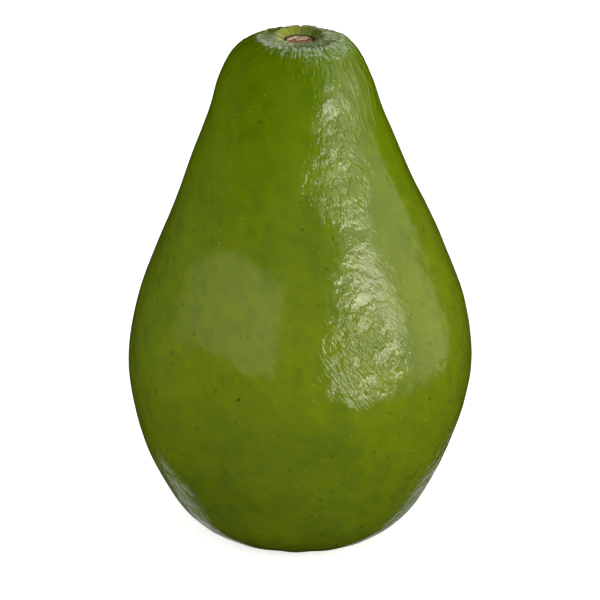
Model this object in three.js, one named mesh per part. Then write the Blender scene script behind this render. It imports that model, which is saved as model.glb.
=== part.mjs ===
// A green-skinned, pear-shaped avocado, as picked, standing on the small flat spot of its blossom end.
// Two pieces: the fruit, and the woody button that its stalk left in the puckered dimple on top.
// Millimetres, +Z up. The origin is the middle of the flat spot, and the stalk stands straight above it.
import * as THREE from "three";

// Driving dimensions
const HEIGHT = 115.4; // flat spot to the crest of the dimple's rim, at its sides
const BELLY_RADIUS = 38.4; // half the greatest width, left to right
const DEPTH_SHARE = 0.98; // front to back, over left to right
const RIM_RADIUS = 5.9; // crest of the puckered rim round the dimple
const RIM_LEAN = 0.6; // the rim stands this much higher at the back, and lower in front
const DIMPLE_DEPTH = 1.1; // the rim's crest down to the socket's mouth
const BUTTON_RADIUS = 2.95;
const BUTTON_LENGTH = 3.3; // the socket's floor up to the edge of the broken face
const SOCKET_GAP = 0.3; // round the button, where it has dried away from the flesh

// The skin's outline from the flat spot up to the rim: [share of BELLY_RADIUS, share of HEIGHT]
const OUTLINE = [
  [0.325, 0],
  [0.482, 0.0115],
  [0.631, 0.042],
  [0.763, 0.1005],
  [0.907, 0.208],
  [1, 0.342],
  [0.956, 0.47],
  [0.815, 0.6],
  [0.64, 0.732],
  [0.503, 0.845],
  [0.436, 0.915],
  [0.352, 0.9655],
  [0.26, 0.9905],
  [0.201, 0.9952],
];
// On down the dimple: [share of the way from the socket's wall out to the rim, share of DIMPLE_DEPTH down]
const DIMPLE = [
  [1, 0],
  [0.6, 0.2],
  [0.2, 0.7],
  [0, 1],
];
// The dry pit that the blossom left in the middle of the flat spot: [radius, depth]
const BLOSSOM_PIT = [
  [0, 0.35],
  [1.1, 0.3],
  [1.7, 0],
];
// The button, from its floor to the middle of its face: [share of BUTTON_RADIUS, share of BUTTON_LENGTH]
const BUTTON_OUTLINE = [
  [0, 0],
  [0.88, 0],
  [1, 0.12],
  [1, 0.55],
  [0.99, 0.9],
  [0.93, 0.99],
  [0.84, 1],
  [0.72, 0.97],
  [0.58, 0.93],
  [0.42, 0.9],
  [0.24, 0.9],
  [0, 0.9],
];

// How the grown shape departs from a turned one
const BOW = { size: 0.5, low: 0.13, period: 0.77 }; // the axis bows left and right: mm, then shares of HEIGHT
const AXIS_LEAN = 0.45; // and leans left: mm over the whole HEIGHT
const STILL = 0.342; // share of HEIGHT where the axis crosses the middle
const RIM_OFFSET = 0.5; // the rim's middle, right of the stalk
const CROWN = 15; // radius inside which the skin centres on the rim instead of the axis
const SWELL = 0.28; // broad, low unevenness of the skin
const SWELL_RISE = 14; // height over which it grows from the flat spot
const FOLDS = 9; // creases across the rim
const FOLD_DEPTH = 0.28;
const FOLD_REACH = [3.3, 5.9, 9.5]; // radii where they begin, are deepest and die away
const PUCKERS = 30; // ridges that the stalk's pull has drawn up round the rim
const PUCKER_HEIGHT = 0.16;
const PUCKER_REACH = [4.4, 8.5, 16];
const HEEL_PUCKERS = 15; // faint ridges round the flat spot
const HEEL_HEIGHT = 0.1;
const HEEL_REACH = [13, 17, 24];
const NUB = { x: 2.35, y: 0.4, radius: 0.5, height: 0.35 }; // torn fibre that stands up on the button
const FACE_LEAN = 0.12; // the broken face rises to the back like the rim
const SPLINTERS = 11; // rough points round the broken face
const SPLINTER_HEIGHT = 0.1;

// Resolution
const FRUIT_SEGMENTS = 120;
const RING_SPACING = 4.2;
const BUTTON_SEGMENTS = 44;

const TURN = 2 * Math.PI;
const BACK = TURN / 4; // angle of the side away from the viewer
const socketRadius = BUTTON_RADIUS + SOCKET_GAP;
const socketFloor = HEIGHT - DIMPLE_DEPTH - BUTTON_LENGTH;

const fruitSkin = new THREE.MeshStandardMaterial({ color: 0x64790f, roughness: 0.34, metalness: 0 });
const brokenWood = new THREE.MeshStandardMaterial({ color: 0xa98462, roughness: 0.85, metalness: 0 });

const rise = (x, low, high) => THREE.MathUtils.smoothstep(x, low, high);
const hump = (x, [start, peak, end]) => rise(x, start, peak) * (1 - rise(x, peak, end));

// Left-right offset of the fruit's axis, none at the widest place
function axis(height) {
  const share = height / HEIGHT;
  const phase = (at) => Math.cos((TURN * (at - BOW.low)) / BOW.period);
  return BOW.size * (phase(STILL) - phase(share)) - AXIS_LEAN * (share - STILL);
}

function swell(angle, height) {
  const share = height / HEIGHT;
  const waves =
    0.5 * Math.sin(2 * angle + 7 * share + 1) +
    0.3 * Math.sin(3 * angle - 16 * share) +
    0.2 * Math.sin(7 * angle + 29 * share + 2);
  return SWELL * waves * rise(height, 0, SWELL_RISE);
}

function pucker(angle, radius) {
  const ridge = Math.cos(PUCKERS * angle + 1.3 * Math.sin(3 * angle + 1) + 0.9 * Math.sin(7 * angle));
  return PUCKER_HEIGHT * ridge * hump(radius, PUCKER_REACH);
}

function fold(angle, radius) {
  const fromBack = angle - BACK;
  const crease = Math.max(0, Math.cos(FOLDS * fromBack + 0.3 * Math.sin(2 * fromBack)));
  return -FOLD_DEPTH * crease ** 4 * hump(radius, FOLD_REACH);
}

function heelPucker(angle, radius) {
  const ridge = Math.cos(HEEL_PUCKERS * angle + 1.1 * Math.sin(2 * angle + 2));
  return HEEL_HEIGHT * ridge * hump(radius, HEEL_REACH);
}

// A turned solid whose points then move: relief is along the profile's outward direction, offset is to the right
// and lift is upward, and each is a function of the point's angle, radius and height.
function grown(profile, segments, { relief, offset, lift }) {
  const geometry = new THREE.LatheGeometry(profile, segments);
  const place = geometry.attributes.position;
  for (let i = 0; i < place.count; i++) {
    const at = i % profile.length;
    const column = Math.floor(i / profile.length) % segments;
    const angle = (TURN * column) / segments - BACK;
    const { x: radius, y: height } = profile[at];
    const along = profile[Math.min(at + 1, profile.length - 1)].clone();
    along.sub(profile[Math.max(at - 1, 0)]).normalize();
    const move = relief(angle, radius, height);
    const out = radius + along.y * move;
    const x = offset(angle, radius, height) + out * Math.cos(angle);
    const z = lift(angle, radius, height) + height - along.x * move;
    place.setXYZ(i, x, DEPTH_SHARE * out * Math.sin(angle), z);
  }
  geometry.computeVertexNormals();
  return geometry;
}

// The outline's points joined by a smooth curve, with more rings where they stand far apart
function skinProfile() {
  const points = [
    ...OUTLINE.map(([r, h]) => new THREE.Vector2(r * BELLY_RADIUS, h * HEIGHT)),
    ...DIMPLE.map(
      ([r, down]) =>
        new THREE.Vector2(socketRadius + r * (RIM_RADIUS - socketRadius), HEIGHT - down * DIMPLE_DEPTH),
    ),
  ];
  const curve = new THREE.SplineCurve(points);
  const stretches = points.length - 1;
  const rings = [points[0]];
  for (let i = 0; i < stretches; i++) {
    const steps = Math.max(2, Math.round(points[i].distanceTo(points[i + 1]) / RING_SPACING));
    for (let k = 1; k <= steps; k++) rings.push(curve.getPoint((i + k / steps) / stretches));
  }
  return rings;
}

function makeFruit() {
  const profile = [
    ...BLOSSOM_PIT.map(([r, deep]) => new THREE.Vector2(r, deep)),
    ...skinProfile(),
    new THREE.Vector2(socketRadius, socketFloor),
    new THREE.Vector2(0, socketFloor),
  ];
  const isTop = (height) => height > HEIGHT / 2;
  const isSocket = (radius, height) => isTop(height) && radius < socketRadius + 0.01;
  const relief = (angle, radius, height) => {
    if (isSocket(radius, height)) return 0;
    if (!isTop(height)) return swell(angle, height) + heelPucker(angle, radius);
    return swell(angle, height) * rise(radius, RIM_RADIUS, CROWN) + pucker(angle, radius) + fold(angle, radius);
  };
  const offset = (angle, radius, height) => {
    if (!isTop(height)) return axis(height) * rise(radius, BLOSSOM_PIT[2][0], OUTLINE[0][0] * BELLY_RADIUS);
    const crown = 1 - rise(radius, RIM_RADIUS, CROWN);
    const rim = RIM_OFFSET * rise(radius, socketRadius, RIM_RADIUS);
    return axis(height) * (1 - crown) + rim * crown;
  };
  const lift = (angle, radius, height) =>
    isTop(height) ? RIM_LEAN * Math.sin(angle) * hump(radius, [socketRadius, RIM_RADIUS, CROWN]) : 0;
  const mesh = new THREE.Mesh(grown(profile, FRUIT_SEGMENTS, { relief, offset, lift }), fruitSkin);
  mesh.name = "fruit";
  return mesh;
}

function makeStemButton() {
  const profile = BUTTON_OUTLINE.map(([r, h]) => new THREE.Vector2(r * BUTTON_RADIUS, h * BUTTON_LENGTH));
  const isFace = (height) => height > 0.8 * BUTTON_LENGTH;
  const relief = (angle, radius, height) => {
    if (!isFace(height)) return 0;
    const splinter = Math.cos(SPLINTERS * angle + 2 * Math.sin(2 * angle)) * Math.sin((TURN * radius) / 2.1);
    return (SPLINTER_HEIGHT * splinter * radius) / BUTTON_RADIUS;
  };
  const lift = (angle, radius, height) => {
    if (!isFace(height)) return 0;
    const x = radius * Math.cos(angle);
    const y = radius * Math.sin(angle);
    const nub = NUB.height * Math.exp(-((x - NUB.x) ** 2 + (y - NUB.y) ** 2) / NUB.radius ** 2);
    return nub + (FACE_LEAN * y) / BUTTON_RADIUS;
  };
  const offset = () => 0;
  const mesh = new THREE.Mesh(grown(profile, BUTTON_SEGMENTS, { relief, offset, lift }), brokenWood);
  mesh.name = "stem_button";
  mesh.position.z = socketFloor;
  return mesh;
}

const avocado = new THREE.Group();
avocado.add(makeFruit(), makeStemButton());
export default avocado;
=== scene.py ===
import math

import bmesh
import bpy
from mathutils import Matrix, Vector, noise
from mathutils.geometry import interpolate_bezier


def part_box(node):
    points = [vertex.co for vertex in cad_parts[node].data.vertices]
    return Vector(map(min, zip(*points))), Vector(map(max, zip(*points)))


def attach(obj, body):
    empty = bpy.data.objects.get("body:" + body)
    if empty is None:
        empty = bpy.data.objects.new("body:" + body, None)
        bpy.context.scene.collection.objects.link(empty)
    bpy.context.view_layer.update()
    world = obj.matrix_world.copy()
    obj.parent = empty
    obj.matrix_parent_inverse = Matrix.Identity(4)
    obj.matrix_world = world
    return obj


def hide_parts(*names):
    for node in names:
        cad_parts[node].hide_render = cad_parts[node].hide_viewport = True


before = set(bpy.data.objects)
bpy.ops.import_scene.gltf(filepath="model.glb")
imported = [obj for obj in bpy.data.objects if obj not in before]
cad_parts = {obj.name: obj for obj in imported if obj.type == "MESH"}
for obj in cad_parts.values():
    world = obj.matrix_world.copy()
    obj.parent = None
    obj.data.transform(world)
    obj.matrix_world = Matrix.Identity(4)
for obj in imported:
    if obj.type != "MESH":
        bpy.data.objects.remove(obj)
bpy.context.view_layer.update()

# The fruit
# One grown body: a thin, waxy green skin over firm flesh, pear-shaped, a little bowed and uneven.
# It hung from its stalk, which has drawn the skin up into fine puckers round a dimple. It stands
# on the small flat spot of its blossom end.
MM = 0.001
fruit_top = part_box("fruit")[1].z
button_low, button_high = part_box("stem_button")
RIM_LEAN = 0.6 * MM
HEIGHT = fruit_top - RIM_LEAN
BELLY_RADIUS = 38.4 * MM
DEPTH_SHARE = 0.98
RIM_RADIUS = 5.4 * MM
DIMPLE_DEPTH = 1.1 * MM
BUTTON_RADIUS = (button_high.x - button_low.x) / 2
SOCKET_RADIUS = BUTTON_RADIUS + 0.3 * MM
SOCKET_FLOOR = button_low.z
FLAT_RADIUS = 0.325 * BELLY_RADIUS
PIT_RADIUS = 1.7 * MM
CROWN_RADIUS = 15 * MM
RIM_OFFSET = 0.35 * MM
BACK_LIFT = 1.3 * RIM_LEAN
ROUND_THE_FRUIT = 420  # points in each ring of the mesh

# The skin's outline from the flat spot to the rim: shares of the belly's radius and of the height
skin_outline = [
    (0.325, 0),
    (0.482, 0.0115),
    (0.631, 0.042),
    (0.763, 0.1005),
    (0.907, 0.208),
    (1, 0.342),
    (0.956, 0.47),
    (0.815, 0.6),
    (0.64, 0.732),
    (0.503, 0.845),
    (0.436, 0.915),
    (0.352, 0.968),
    (0.262, 0.9925),
    (0.201, 0.9955),
]
# Down the dimple: shares of the way out from the socket's wall, and of the dimple's depth
dimple_outline = [(1, 0), (0.6, 0.2), (0.2, 0.7), (0, 1)]


def smooth_through(points, spacings):
    """Points on a smooth curve through the given ones, about as far apart as each stretch's spacing."""
    ends = [points[0], *points, points[-1]]
    curve = [points[0]]
    for before, start, end, after, spacing in zip(ends, ends[1:], ends[2:], ends[3:], spacings):
        steps = max(2, round((end - start).length / spacing))
        leave = start + (end - before) / 6
        arrive = end - (after - start) / 6
        curve += interpolate_bezier(start, leave, arrive, end, steps + 1)[1:]
    return curve


def rise(x, low, high):
    """0 up to low, 1 from high, and a smooth step between."""
    t = min(1.0, max(0.0, (x - low) / (high - low)))
    return t * t * (3 - 2 * t)


def hump(x, start, peak, end):
    """0 outside start and end, and 1 at the peak."""
    return rise(x, start, peak) * (1 - rise(x, peak, end))


def turned(profile, segments):
    """A mesh spun from a profile of (radius, 0, height) that starts and ends on the axis."""
    bm = bmesh.new()
    line = [bm.verts.new(point) for point in profile]
    line += [bm.edges.new(pair) for pair in zip(line, line[1:])]
    bmesh.ops.spin(
        bm, geom=line, axis=(0, 0, 1), cent=(0, 0, 0), angle=math.tau, steps=segments, use_merge=True
    )
    bmesh.ops.remove_doubles(bm, verts=bm.verts, dist=0.001 * MM)
    bmesh.ops.recalc_face_normals(bm, faces=bm.faces)
    bm.normal_update()
    return bm


def finished(name, bm):
    """The object that holds a finished bmesh, shaded smooth."""
    mesh = bpy.data.meshes.new(name)
    bm.to_mesh(mesh)
    bm.free()
    mesh.shade_smooth()
    made = bpy.data.objects.new(name, mesh)
    bpy.context.scene.collection.objects.link(made)
    return made


STILL_SHARE = 0.342  # the belly, which stays in the middle
BOW_START = 0.13
BOW_LENGTH = 0.77  # the share of the height that one bow to the side and back takes


def axis_offset(share):
    """How far the fruit's axis bows and leans to the right, by share of the height."""
    still = math.cos(math.tau * (STILL_SHARE - BOW_START) / BOW_LENGTH)
    here = math.cos(math.tau * (share - BOW_START) / BOW_LENGTH)
    bow = 0.5 * MM * (still - here)
    lean = 0.45 * MM * (share - STILL_SHARE)
    return bow - lean


def swell(angle, share):
    """Broad, low unevenness of the whole body."""
    waves = 0.5 * math.sin(2 * angle + 7 * share + 1)
    waves += 0.3 * math.sin(3 * angle - 16 * share)
    waves += 0.2 * math.sin(7 * angle + 29 * share + 2)
    return 0.28 * MM * waves * rise(share, 0, 0.12)


def puckers(angle, radius):
    """Ridges and creases that the stalk's pull has drawn up round the dimple."""
    r = radius / MM
    ridge = 0.08 * math.cos(30 * angle + 1.3 * math.sin(3 * angle + 1) + 0.9 * math.sin(7 * angle))
    around = Vector((math.cos(angle), math.sin(angle), 0))
    fine = noise.noise(around * 13 + Vector((0, 0, r * 0.2)))
    finest = noise.noise(around * 24 + Vector((5, 0, r * 0.45)))
    crumpled = noise.noise(around * 19 + Vector((2, 6, r * 1.3)))
    relief = (ridge + 0.2 * fine + 0.16 * finest) * hump(r, 3.8, 8, 17)
    relief += 0.12 * crumpled * hump(r, 5.5, 11, 20)
    from_back = angle - math.pi / 2
    crease = max(0.0, math.cos(9 * from_back + 0.3 * math.sin(2 * from_back)))
    relief -= 0.36 * crease**6 * hump(r, 3.3, 5.2, 9.0)
    return relief * MM


def heel_puckers(angle, radius):
    """Faint ridges round the flat spot."""
    ridge = math.cos(15 * angle + 1.1 * math.sin(2 * angle + 2))
    return 0.1 * MM * ridge * hump(radius / MM, 13, 17, 24)


TWIST = 20.0  # radians a metre: the wrinkles wind round the fruit as they run down
DRAWN_OUT = 0.72  # they are drawn out lengthwise by one over this
SUNNY_SIDE = Vector((0.44, -0.9, 0))  # the side that the sun has wrinkled most
# Centres and sizes of the places that are wrinkled most, and how far each is sunken, in millimetres
WRINKLED_PLACES = [
    (Vector((9.5, -16.5, 98)), 6.5, 0),
    (Vector((8.5, -21, 89)), 8, 0.315),
    (Vector((14.5, -33.5, 54)), 9, 0.595),
]


def wrinkles(place):
    """Low, winding wrinkles of the skin, in patches between smoother places, and few below the belly."""
    wound = Matrix.Rotation(TWIST * place.z, 3, "Z") @ place
    wound = Vector((wound.x, wound.y, wound.z * DRAWN_OUT)) / MM
    facing = Vector((place.x, place.y, 0)).normalized().dot(SUNNY_SIDE)
    near = hollow = 0.0
    for centre, size, depth in WRINKLED_PLACES:
        close = math.exp(-(((place / MM - centre).length / size) ** 2))
        near = max(near, close)
        hollow = max(hollow, depth * close)
    patch = 0.15 + (0.25 + 0.6 * near) * rise(facing, 0.7, 0.93) * rise(place.z, 32 * MM, 48 * MM)
    patch *= rise(noise.noise(place / MM * 0.12 + Vector((3, 8, 1))), -0.8, 0.2)
    dents = 0.35 * noise.noise(place / MM * 0.065 + Vector((1, 5, 2))) - hollow
    broad = noise.noise(wound * 0.22)
    fine = noise.noise(wound * 0.7 + Vector((9, 4, 2)))
    finest = noise.noise(wound * 1.3 + Vector((2, 4, 8)))
    relief = dents + (0.04 + 0.1 * patch) * broad
    relief += (0.01 + 0.07 * patch) * fine + 0.04 * patch * finest
    return relief * MM


# The profile runs from the blossom scar out over the flat spot, up the skin, and down into the socket
profile = [Vector((0, 0, 0.35 * MM)), Vector((0.6 * MM, 0, 0.34 * MM)), Vector((1.1 * MM, 0, 0.3 * MM))]
profile += [Vector((PIT_RADIUS, 0, 0.02 * MM)), Vector((PIT_RADIUS + 0.3 * MM, 0, 0))]
profile += [Vector((FLAT_RADIUS * share, 0, 0)) for share in (0.3, 0.45, 0.6, 0.75, 0.9)]
corners = [Vector((r * BELLY_RADIUS, 0, h * HEIGHT)) for r, h in skin_outline]
dimple_width = RIM_RADIUS - SOCKET_RADIUS
for r, d in dimple_outline:
    corners.append(Vector((SOCKET_RADIUS + r * dimple_width, 0, HEIGHT - d * DIMPLE_DEPTH)))
ring_spacings = [0.85 * MM] * 9 + [0.35 * MM] * (len(corners) - 10)
profile += smooth_through(corners, ring_spacings)
lip = corners[-1]
profile += [Vector((SOCKET_RADIUS, 0, lip.z + (SOCKET_FLOOR - lip.z) * k)) for k in (0.1, 0.4, 0.7, 1)]
profile += [Vector((SOCKET_RADIUS / 2, 0, SOCKET_FLOOR)), Vector((0, 0, SOCKET_FLOOR))]

bm = turned(profile, ROUND_THE_FRUIT)
for v in bm.verts:
    radius = math.hypot(v.co.x, v.co.y)
    height = v.co.z
    angle = math.atan2(v.co.y, v.co.x)
    share = height / HEIGHT
    is_top = share > 0.5
    is_skin = height > 0.01 * MM and radius > (SOCKET_RADIUS if is_top else FLAT_RADIUS) + 0.02 * MM
    if is_skin:
        move = wrinkles(v.co) * rise(height, 0, 4 * MM)
        if is_top:
            move *= rise(radius, RIM_RADIUS, 1.6 * RIM_RADIUS)
            move += swell(angle, share) * rise(radius, RIM_RADIUS, CROWN_RADIUS) + puckers(angle, radius)
        else:
            move += swell(angle, share) + heel_puckers(angle, radius)
        v.co += v.normal * move
    v.co.y *= DEPTH_SHARE
    if is_top:
        crown = 1 - rise(radius, RIM_RADIUS, CROWN_RADIUS)
        rim = rise(radius, SOCKET_RADIUS, RIM_RADIUS)
        v.co.x += axis_offset(share) * (1 - crown) + RIM_OFFSET * rim * crown
        v.co.z += BACK_LIFT * math.sin(angle) * hump(radius, SOCKET_RADIUS, RIM_RADIUS, 9 * MM)
    else:
        v.co.x += axis_offset(share) * rise(radius, PIT_RADIUS, FLAT_RADIUS)
fruit = finished("fruit_skin", bm)

# Its skin is waxy green, clearer where it is thin, with pale breathing pores, a few dark specks from
# rubbing, faint streaks, and a gloss that fine wrinkles break up. Its colour also holds painted light and
# shade on the dimple's wall, painted shade round the socket's edge, and a faint painted reflection haze on
# the belly
skin = bpy.data.materials.new("waxy green skin")
skin.use_nodes = True
nodes = skin.node_tree.nodes
links = skin.node_tree.links
skin_shader = nodes["Principled BSDF"]


def node(kind, **settings):
    """A node of the material that is being built, with its settings."""
    made = nodes.new(kind)
    for key, value in settings.items():
        setattr(made, key, value)
    return made


def joined(source, target):
    """Links an output socket to an input socket."""
    links.new(source, target)


def calculated(operation, *values):
    """A Math node of sockets or numbers, and its output."""
    made = node("ShaderNodeMath", operation=operation)
    for socket, value in zip(made.inputs, values):
        if isinstance(value, bpy.types.NodeSocket):
            joined(value, socket)
        else:
            socket.default_value = value
    return made.outputs[0]


def ramped(value, low, high, from_value=0.0, to_value=1.0):
    """A smooth step of a socket's value from one number to another."""
    made = node("ShaderNodeMapRange", interpolation_type="SMOOTHSTEP")
    joined(value, made.inputs["Value"])
    made.inputs["From Min"].default_value = low
    made.inputs["From Max"].default_value = high
    made.inputs["To Min"].default_value = from_value
    made.inputs["To Max"].default_value = to_value
    return made.outputs["Result"]


def mixed(share, first, second):
    """A colour between two, which are sockets or plain colours."""
    made = node("ShaderNodeMix", data_type="RGBA")
    joined(share, made.inputs["Factor"])
    for socket, value in ((made.inputs["A"], first), (made.inputs["B"], second)):
        if isinstance(value, bpy.types.NodeSocket):
            joined(value, socket)
        else:
            socket.default_value = (*value, 1)
    return made.outputs["Result"]


def clouds(place, scale, detail=2.0, roughness=0.5, distortion=0.0):
    """The value of a noise texture at a place."""
    made = node("ShaderNodeTexNoise")
    joined(place, made.inputs["Vector"])
    made.inputs["Scale"].default_value = scale
    made.inputs["Detail"].default_value = detail
    made.inputs["Roughness"].default_value = roughness
    made.inputs["Distortion"].default_value = distortion
    return made.outputs["Fac"]


def dots(place, scale, shift=(0, 0, 0)):
    """Distance to the nearest of many scattered points, and that point's own random value."""
    moved = node("ShaderNodeMapping")
    joined(place, moved.inputs["Vector"])
    moved.inputs["Location"].default_value = shift
    made = node("ShaderNodeTexVoronoi")
    joined(moved.outputs[0], made.inputs["Vector"])
    made.inputs["Scale"].default_value = scale
    return made.outputs["Distance"], made.outputs["Color"]


def scaled(place, x, y, z):
    """A place with its three distances multiplied."""
    made = node("ShaderNodeMapping")
    made.inputs["Scale"].default_value = (x, y, z)
    joined(place, made.inputs["Vector"])
    return made.outputs[0]


def in_millimetres():
    """The place on the object in millimetres, and its three distances apart."""
    coordinates = node("ShaderNodeTexCoord")
    place = scaled(coordinates.outputs["Object"], 1000, 1000, 1000)
    apart = node("ShaderNodeSeparateXYZ")
    joined(place, apart.inputs[0])
    return place, apart.outputs


def bumped(height, depth, strength, target):
    """Gives a normal input the bumps of a relief of this depth."""
    made = node("ShaderNodeBump")
    made.inputs["Distance"].default_value = depth
    made.inputs["Strength"].default_value = strength
    joined(height, made.inputs["Height"])
    joined(made.outputs[0], target)


# The place on the skin, plain and wound round the fruit with the wrinkles
place, apart = in_millimetres()
turn = calculated("MULTIPLY", apart["Z"], TWIST * MM)
wind = node("ShaderNodeVectorRotate", rotation_type="Z_AXIS")
joined(place, wind.inputs["Vector"])
joined(turn, wind.inputs["Angle"])
wound = scaled(wind.outputs[0], 1, 1, DRAWN_OUT)

outward = node("ShaderNodeVectorMath", operation="MULTIPLY")
joined(place, outward.inputs[0])
outward.inputs[1].default_value = (1, 1, 0)
facing = node("ShaderNodeVectorMath", operation="NORMALIZE")
joined(outward.outputs[0], facing.inputs[0])
sunny = node("ShaderNodeVectorMath", operation="DOT_PRODUCT")
joined(facing.outputs[0], sunny.inputs[0])
sunny.inputs[1].default_value = SUNNY_SIDE

# Colour: yellower round the belly, greener up the neck, with faint streaks along the wrinkles. The belly's
# two greens also carry a faint painted reflection haze in their higher blue, which the neck's greens lack
clear_green_with_painted_haze = (0.178, 0.244, 0.0060)
deep_green_with_painted_haze = (0.102, 0.164, 0.0105)
neck_green = (0.137, 0.219, 0.0005)
deep_neck_green = (0.087, 0.159, 0.0005)
# Painted light and painted shade for the dimple's wall
lit_wall_green = (0.330, 0.370, 0.030)
wall_shade_green = (0.120, 0.170, 0.015)
gap_shade_brown = (0.060, 0.030, 0.010)
spot_green = (0.055, 0.078, 0.014)
pore_green = (0.360, 0.420, 0.080)
scar_brown = (0.030, 0.034, 0.008)
is_neck = ramped(apart["Z"], 62, 108)
drift = ramped(clouds(place, 0.045, 3), 0.35, 0.68)
blotches = ramped(clouds(place, 0.2, 3, 0.6), 0.4, 0.62)
streaks = ramped(clouds(wound, 0.5, 3), 0.3, 0.7)
tone = calculated("MULTIPLY_ADD", drift, 0.35, calculated("MULTIPLY", streaks, 0.3))
tone = calculated("MULTIPLY_ADD", blotches, 0.3, tone)
clear = mixed(is_neck, clear_green_with_painted_haze, neck_green)
deep = mixed(is_neck, deep_green_with_painted_haze, deep_neck_green)
colour = mixed(tone, clear, deep)

# The dimple's wall: thin, paler and yellower skin, with painted light on its left side that fades to
# painted shade on its right
radius = node("ShaderNodeVectorMath", operation="LENGTH")
joined(outward.outputs[0], radius.inputs[0])
from_axis = radius.outputs["Value"]
is_wall = calculated("MULTIPLY", ramped(from_axis, 5.8, 5.0), ramped(apart["Z"], 111, 113))
wall_light_and_shade = mixed(ramped(apart["X"], -3.5, 3), lit_wall_green, wall_shade_green)
colour = mixed(calculated("MULTIPLY", is_wall, 0.85), colour, wall_light_and_shade)
# Painted shade: a dark brown ring on the socket's edge, round the gap about the stalk stub
painted_gap_shade = calculated("MULTIPLY", ramped(from_axis, 3.55, 3.35), is_wall)
colour = mixed(painted_gap_shade, colour, gap_shade_brown)

# Soft dark spots under the skin
spot_distance, spot_random = dots(place, 0.36, (5, 2, 9))
spot = ramped(spot_distance, 0.0, 0.3, 1.0, 0.0)
spot = calculated("MULTIPLY", spot, ramped(spot_random, 0.35, 0.9, 0.0, 0.65))
spot = calculated("MULTIPLY", spot, ramped(apart["Z"], 95, 65, 0.35, 1.0))
colour = mixed(spot, colour, spot_green)

# Pale breathing pores, each its own size
pore_distance, pore_random = dots(place, 0.62)
pore_size = ramped(pore_random, 0.1, 1.0, 0.03, 0.16)
pore = calculated("LESS_THAN", pore_distance, pore_size)
pore = calculated("MULTIPLY", pore, ramped(clouds(place, 0.09, 1), 0.42, 0.6, 0.0, 0.5))
colour = mixed(pore, colour, pore_green)

# Small dark scars from rubbing: ragged, few, and of all sizes
ragged = node("ShaderNodeTexNoise")
joined(place, ragged.inputs["Vector"])
ragged.inputs["Scale"].default_value = 2.6
shaken = node("ShaderNodeVectorMath", operation="MULTIPLY_ADD")
joined(ragged.outputs["Color"], shaken.inputs[0])
shaken.inputs[1].default_value = (0.9, 0.9, 1.3)
joined(place, shaken.inputs[2])
speck_distance, speck_random = dots(shaken.outputs[0], 0.3, (11, 5, 3))
speck_size = ramped(speck_random, 0.45, 1.0, 0.0, 0.13)
speck = calculated("LESS_THAN", speck_distance, speck_size)
colour = mixed(calculated("MULTIPLY", speck, 0.85), colour, scar_brown)
joined(colour, skin_shader.inputs["Base Color"])

# Relief of the surface and its gloss
is_upper = ramped(apart["Z"], 32, 48)
is_sunny = calculated("MULTIPLY", ramped(sunny.outputs["Value"], 0.7, 0.93), is_upper)
is_heel = ramped(apart["Z"], 34, 14, 0.0, 1.4)


def closeness(centre, near, far):
    """1 within the near distance of a centre and 0 beyond the far one."""
    made = node("ShaderNodeVectorMath", operation="DISTANCE")
    joined(place, made.inputs[0])
    made.inputs[1].default_value = centre
    return ramped(made.outputs["Value"], near, far, 1.0, 0.0)


gathered = 0.0
for centre, size, depth in WRINKLED_PLACES:
    gathered = calculated("MAXIMUM", gathered, closeness(centre, 0.4 * size, 1.5 * size))
where = calculated("MULTIPLY", is_sunny, calculated("MULTIPLY_ADD", gathered, 1.1, 0.15))
at_side = ramped(calculated("ABSOLUTE", apart["X"]), 15, 27)
where = calculated("ADD", where, calculated("MULTIPLY_ADD", is_heel, at_side, 0.06))
patches = calculated("MULTIPLY", ramped(clouds(place, 0.3, 2), 0.38, 0.58, 0.5, 1.2), where)
creased = calculated("ABSOLUTE", calculated("SUBTRACT", clouds(wound, 0.45, 2, 0.5, 0.6), 0.5))
lengthwise = scaled(wound, 1, 1, 0.5)
flecked = clouds(lengthwise, 2.8, 2, 0.6)
crumple = clouds(lengthwise, 1.4, 3, 0.6, 0.6)
relief = calculated("MULTIPLY_ADD", crumple, 0.32, calculated("MULTIPLY", creased, 0.15))
relief = calculated("MULTIPLY_ADD", flecked, 0.12, relief)
relief = calculated("MULTIPLY", relief, patches)

# Fine ridges that run out of the dimple, closer together towards it
out_and_round = node("ShaderNodeCombineXYZ")
joined(calculated("MULTIPLY", from_axis, 0.45), out_and_round.inputs["Z"])
spokes = node("ShaderNodeVectorMath", operation="MULTIPLY_ADD")
joined(facing.outputs[0], spokes.inputs[0])
spokes.inputs[1].default_value = (11, 11, 0)
joined(out_and_round.outputs[0], spokes.inputs[2])
reach = calculated("MULTIPLY_ADD", apart["X"], -0.3, from_axis)
is_crown = calculated("MULTIPLY", ramped(reach, 17, 9), ramped(apart["Z"], 90, 102))
drawn = calculated("MULTIPLY", clouds(spokes.outputs[0], 1, 3, 0.65, 0.6), is_crown)
relief = calculated("MULTIPLY_ADD", drawn, 0.62, relief)
relief = calculated("SUBTRACT", relief, calculated("MULTIPLY", speck, 0.06))
relief = calculated("ADD", relief, calculated("MULTIPLY", pore, 0.02))
# The wax follows the relief fully, and the skin under it only a little
bumped(relief, MM, 1.0, skin_shader.inputs["Coat Normal"])
bumped(relief, MM, 0.35, skin_shader.inputs["Normal"])
skin_shader.inputs["Roughness"].default_value = 0.5
skin_shader.inputs["Specular IOR Level"].default_value = 0.0
skin_shader.inputs["Coat Weight"].default_value = 1.0
skin_shader.inputs["Coat Roughness"].default_value = 0.1
skin_shader.inputs["Coat IOR"].default_value = 1.5
fruit.data.materials.append(skin)
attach(fruit, "root")
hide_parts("fruit")

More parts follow.
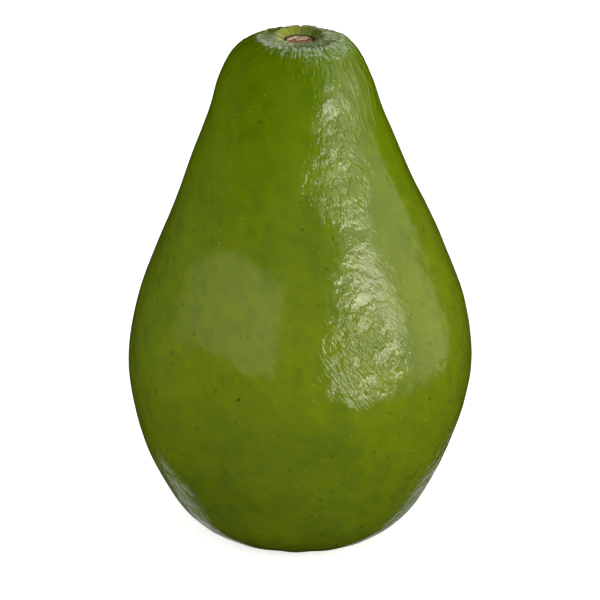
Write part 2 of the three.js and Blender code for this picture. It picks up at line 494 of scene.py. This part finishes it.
# The stem button
# The stub of the stalk, snapped off and dried: wood that is hard and tan at the back and torn and
# red-brown in front, with one fibre left standing. It sits in the socket of the dimple, with a thin
# gap round it.
BUTTON_LENGTH = 3.3 * MM
ROUND_THE_BUTTON = 128
TORN_FROM = 0.8  # the share of its length from which it is torn
button_outline = [
    (0, 0),
    (0.88, 0),
    (0.97, 0.03),
    (1, 0.12),
    (1, 0.55),
    (0.99, 0.9),
    (0.93, 0.99),
    (0.84, 1),
    (0.72, 0.97),
    (0.58, 0.93),
    (0.42, 0.9),
    (0.24, 0.9),
    (0, 0.9),
]
corners = [Vector((r * BUTTON_RADIUS, 0, SOCKET_FLOOR + h * BUTTON_LENGTH)) for r, h in button_outline]
profile = [corners[0], *smooth_through(corners[1:], [0.16 * MM] * (len(corners) - 2))]
bm = turned(profile, ROUND_THE_BUTTON)
for v in bm.verts:
    x, y = v.co.x / MM, v.co.y / MM
    up = (v.co.z - SOCKET_FLOOR) / BUTTON_LENGTH
    if up > TORN_FROM:
        torn = noise.noise(Vector((x * 1.4, y * 3.2, 0)) + Vector((4, 7, 1)))
        frayed = noise.noise(Vector((x * 4, y * 7, 2)))
        hollow = math.exp(-((x - 0.3) ** 2 + (y + 0.55) ** 2) / 1.3**2)
        nub = math.exp(-((x - 2.35) ** 2 + (y - 0.4) ** 2) / 0.45**2)
        lift = 0.12 * torn + 0.06 * frayed - 0.22 * hollow + 0.35 * nub + 0.04 * y
        v.co.z += lift * MM * rise(up, TORN_FROM, 0.95)
    v.co.y *= DEPTH_SHARE
button = finished("stalk_stub", bm)

wood = bpy.data.materials.new("dry stalk wood")
wood.use_nodes = True
nodes = wood.node_tree.nodes
links = wood.node_tree.links
wood_shader = nodes["Principled BSDF"]
pale_tan = (0.78, 0.60, 0.40)
deep_tan = (0.38, 0.23, 0.13)
fibre_red = (0.50, 0.20, 0.10)
deep_red_brown = (0.11, 0.018, 0.006)
place, apart = in_millimetres()
grain = clouds(scaled(place, 0.55, 0.9, 0.9), 1.5, 3, 0.65, 0.4)
ragged_edge = calculated("MULTIPLY_ADD", calculated("SUBTRACT", grain, 0.5), 3, apart["Y"])
left_end = ramped(apart["X"], -1.6, -2.5, 0.0, 1.2)
is_hard = ramped(calculated("ADD", ragged_edge, left_end), 0.6, 1.1)
hard = mixed(ramped(grain, 0.4, 0.58), deep_tan, pale_tan)
torn = mixed(ramped(grain, 0.42, 0.56), deep_red_brown, fibre_red)
joined(mixed(is_hard, torn, hard), wood_shader.inputs["Base Color"])
bumped(grain, 0.25 * MM, 1.0, wood_shader.inputs["Normal"])
wood_shader.inputs["Roughness"].default_value = 0.7
wood_shader.inputs["Specular IOR Level"].default_value = 0.15
button.data.materials.append(wood)
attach(button, "root")
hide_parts("stem_button")

# The floor
# A plain, pale, matte surface under the fruit, as wide as any view needs.
FLOOR_HALF_WIDTH = 6
floor_bm = bmesh.new()
bmesh.ops.create_grid(floor_bm, x_segments=1, y_segments=1, size=FLOOR_HALF_WIDTH)
floor = finished("floor", floor_bm)
pale = bpy.data.materials.new("pale floor")
pale.use_nodes = True
pale_shader = pale.node_tree.nodes["Principled BSDF"]
pale_shader.inputs["Base Color"].default_value = (0.9, 0.9, 0.9, 1)
pale_shader.inputs["Roughness"].default_value = 0.9
pale_shader.inputs["Specular IOR Level"].default_value = 0.0
pale_shader.inputs["Emission Color"].default_value = (1, 1, 1, 1)
pale_shader.inputs["Emission Strength"].default_value = 0.72
floor.data.materials.append(pale)
floor.visible_glossy = False
floor.visible_diffuse = False
floor.visible_shadow = False

# The studio light
# Soft boxes round the fruit. Those in the gloss alone make its highlights, and those in the body
# alone light the skin without showing in it.
middle = Vector((0, 0, HEIGHT / 2))
WHITE = (1, 1, 1)
WARM = (1, 0.95, 0.66)
PALE_WARM = (1, 0.96, 0.8)


def soft_box(
    name, place, width, height, radiance, faces=None, fade=(1, 1), colour=WHITE, in_gloss=True, in_body=True
):
    """A rectangular soft light at a place in metres from the fruit's middle.

    It shines towards the fruit or along faces, and fade is its brightness at its two ends.
    """
    light = bpy.data.lights.new(name, "AREA")
    light.shape = "RECTANGLE"
    light.size = width
    light.size_y = height
    light.energy = radiance * math.pi * width * height
    light.color = colour
    light.use_nodes = True
    lamp_nodes = light.node_tree.nodes
    lamp_links = light.node_tree.links
    across = lamp_nodes.new("ShaderNodeNewGeometry")
    split = lamp_nodes.new("ShaderNodeSeparateXYZ")
    fading = lamp_nodes.new("ShaderNodeMapRange")
    fading.inputs["To Min"].default_value, fading.inputs["To Max"].default_value = fade
    lamp_links.new(across.outputs["Parametric"], split.inputs[0])
    lamp_links.new(split.outputs["X"], fading.inputs["Value"])
    lamp_links.new(fading.outputs["Result"], lamp_nodes["Emission"].inputs["Strength"])
    box = bpy.data.objects.new(name, light)
    box.location = middle + Vector(place)
    away = -Vector(faces) if faces else Vector(place)
    box.rotation_euler = away.to_track_quat("Z", "Y").to_euler()
    box.visible_camera = False
    box.visible_glossy = in_gloss
    box.visible_diffuse = in_body
    bpy.context.scene.collection.objects.link(box)


def towards(azimuth, elevation, distance):
    """A place seen from the fruit's middle; azimuth 0 is on the camera's side and grows to the right."""
    a, e = math.radians(azimuth), math.radians(elevation)
    return distance * Vector((math.sin(a) * math.cos(e), -math.cos(a) * math.cos(e), math.sin(e)))


soft_box("right panel", (0.7, -0.33, 0.22), 1.24, 0.86, 1.6, faces=(-1, 0, 0), fade=(1, 0.7), colour=WARM)
soft_box("key", towards(50.5, 6.5, 0.7), 0.39, 0.385, 14, fade=(1, 0.3), colour=PALE_WARM, in_body=False)
soft_box("key glow", towards(59, 10, 0.7), 0.48, 0.38, 5.2, fade=(1, 0), colour=WARM, in_gloss=False)
soft_box("high light", towards(80, 42, 0.8), 0.4, 0.3, 2.4, colour=WARM, in_body=False)
window_place = (-0.175, -0.046, 0.026)
soft_box("left window", window_place, 0.33, 0.057, 1, faces=(0.454, 0.891, 0), fade=(0, 1), colour=WARM)
soft_box("top box", (0.33, 0.45, 0.8), 0.95, 0.8, 4.2, faces=(0, 0, -1), in_body=False)
soft_box("back box", towards(168, 36, 0.9), 0.65, 0.4, 1.5, in_body=False)
soft_box("low left card", towards(-162, -39, 1), 0.26, 0.2, 0.8, in_body=False)
soft_box("low right card", towards(163, -37, 1), 0.22, 0.28, 0.65, in_body=False)
soft_box("front fill", towards(5, 32, 1.6), 1.6, 1.4, 2.05, in_gloss=False)
soft_box("left rim", towards(-105, 8, 1), 0.9, 0.9, 2.1, in_gloss=False)
soft_box("back fill", towards(180, 30, 1.6), 1.2, 1, 0.9, in_gloss=False)
soft_box("right rim", towards(122, 25, 1), 0.9, 0.9, 1.0, in_gloss=False)
soft_box("under light", towards(-30, -40, 1), 0.9, 0.9, 0.8, in_gloss=False)

world = bpy.data.worlds.new("studio")
bpy.context.scene.world = world
world.use_nodes = True
world.node_tree.nodes["Background"].inputs["Color"].default_value = (1, 1, 1, 1)
world.node_tree.nodes["Background"].inputs["Strength"].default_value = 1.0
world.cycles_visibility.glossy = False
world.cycles_visibility.diffuse = False
bpy.context.scene.view_settings.view_transform = "Standard"

# The camera
# A long lens, a little above the fruit, with the fruit almost as high as the frame.
ELEVATION = math.radians(20)
DISTANCE = 0.65
FRAME_WIDTH = 600 / 4500  # metres across at the aim: 600 pixels at 4.5 for each millimetre
SENSOR_WIDTH = 36
camera_data = bpy.data.cameras.new("camera")
camera_data.sensor_width = SENSOR_WIDTH
camera_data.lens = SENSOR_WIDTH * DISTANCE / FRAME_WIDTH
camera = bpy.data.objects.new("camera", camera_data)
bpy.context.scene.collection.objects.link(camera)
aim = Vector((0.111, -0.874, 54.898)) * MM
camera.location = aim + DISTANCE * Vector((0, -math.cos(ELEVATION), math.sin(ELEVATION)))
camera.rotation_euler = (math.pi / 2 - ELEVATION, 0, 0)
camera_data.clip_start = 0.01
camera_data.clip_end = 50
bpy.context.scene.camera = camera
